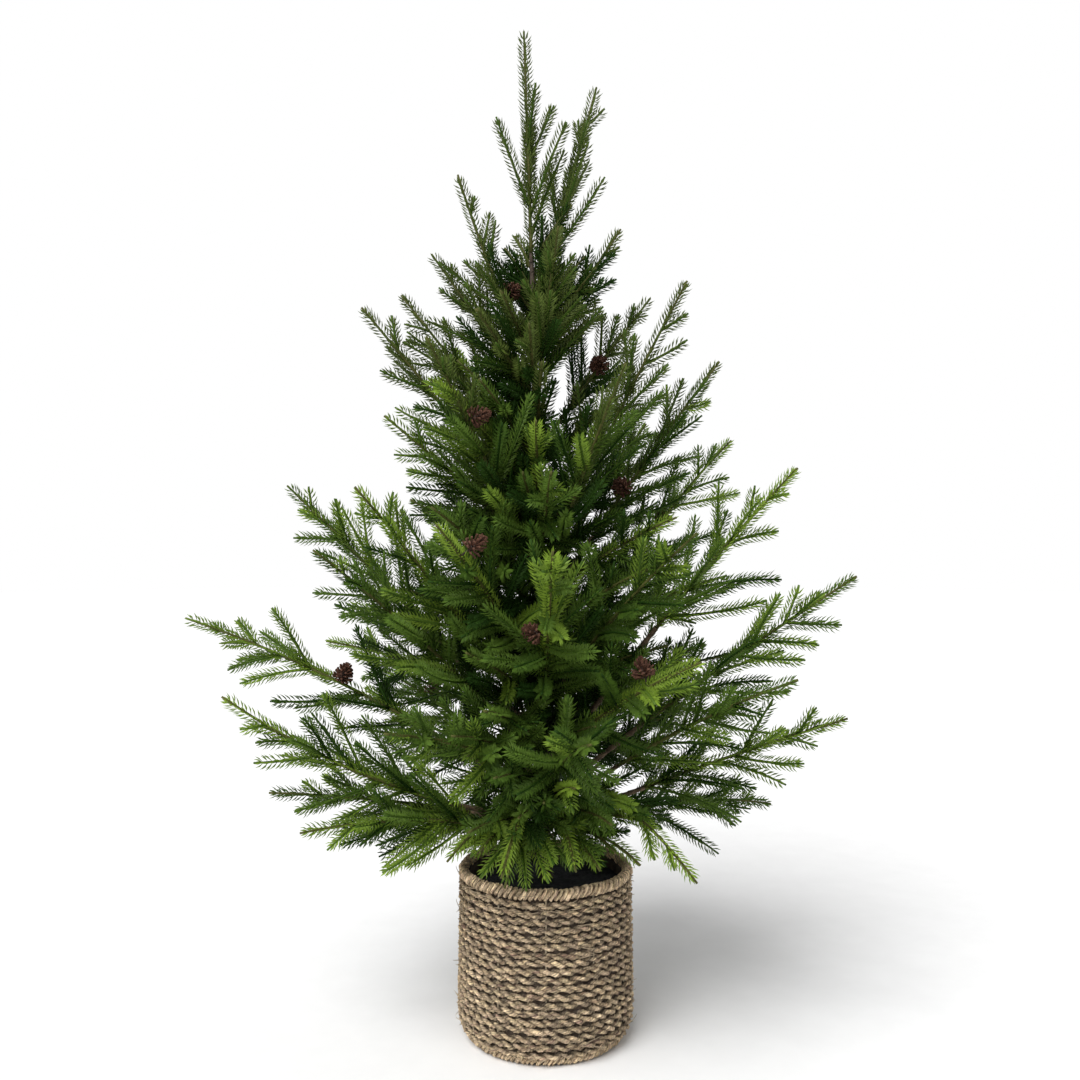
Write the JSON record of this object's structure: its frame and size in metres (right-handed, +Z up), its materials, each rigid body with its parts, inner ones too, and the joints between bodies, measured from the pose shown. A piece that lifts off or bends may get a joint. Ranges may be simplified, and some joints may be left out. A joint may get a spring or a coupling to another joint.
{
  "type": "artificial norfolk island pine",
  "caption": "Small artificial norfolk island pine: upswept needled branches with brown cones on a thin trunk, set in dark filling in a round woven seagrass basket.",
  "frame": {"origin": "middle of the basket's flat underside, on the surface that it stands on", "axes": "+Z up along the basket's upright axis to the tree's tip, -Y the tree's front, +X its right as seen from the front"},
  "size_m": [0.591, 0.494, 0.9],
  "materials": {
    "seagrass": "rough woven plant rope",
    "black_filling": "matt dark foam",
    "paper_bark": "rough paper tape",
    "green_needles": "satin soft plastic"
  },
  "bodies": {
    "root": {"basket": "seagrass", "filling": "black_filling", "trunk": "paper_bark", "bough_low_left": "paper_bark", "bough_low_left_front": "paper_bark", "bough_low_right": "paper_bark", "bough_low_right_front": "paper_bark", "bough_mid_right_front": "paper_bark", "bough_back_right": "paper_bark", "bough_back": "paper_bark", "bough_back_left": "paper_bark", "bough_mid_left": "paper_bark", "bough_high_right": "paper_bark", "foliage_low_left": "green_needles", "foliage_low_left_front": "green_needles", "foliage_low_left_level": "green_needles", "foliage_low_left_drooping": "green_needles", "foliage_low_left_back": "green_needles", "foliage_low_right": "green_needles", "foliage_low_right_front": "green_needles", "foliage_low_right_back": "green_needles", "foliage_foot_right_front": "green_needles", "foliage_foot_front": "green_needles", "foliage_foot_front_right": "green_needles", "foliage_foot_left": "green_needles", "foliage_low_front": "green_needles", "foliage_low_front_right": "green_needles", "foliage_mid_right_front": "green_needles", "foliage_low_front_left": "green_needles", "foliage_back_right": "green_needles", "foliage_back": "green_needles", "foliage_back_left": "green_needles", "foliage_mid_left": "green_needles", "foliage_high_right": "green_needles", "foliage_mid_left_front": "green_needles", "foliage_mid_left_low": "green_needles", "foliage_mid_left_back": "green_needles", "foliage_mid_front": "green_needles", "foliage_mid_right_back": "green_needles", "foliage_mid_front_right": "green_needles", "foliage_mid_front_left": "green_needles", "foliage_mid_back": "green_needles", "foliage_mid_back_left": "green_needles", "foliage_upper_left": "green_needles", "foliage_upper_left_back": "green_needles", "foliage_upper_right": "green_needles", "foliage_upper_right_back": "green_needles", "foliage_upper_far_right": "green_needles", "foliage_upper_left_low": "green_needles", "foliage_upper_front_left": "green_needles", "foliage_upper_front_right": "green_needles", "foliage_upper_back": "green_needles", "foliage_upper_back_right": "green_needles", "foliage_top_left": "green_needles", "foliage_top_left_low": "green_needles", "foliage_top_right": "green_needles", "foliage_top_right_low": "green_needles", "foliage_top_front": "green_needles", "foliage_top_back": "green_needles", "foliage_leader": "green_needles"}
  },
  "joints": []
}
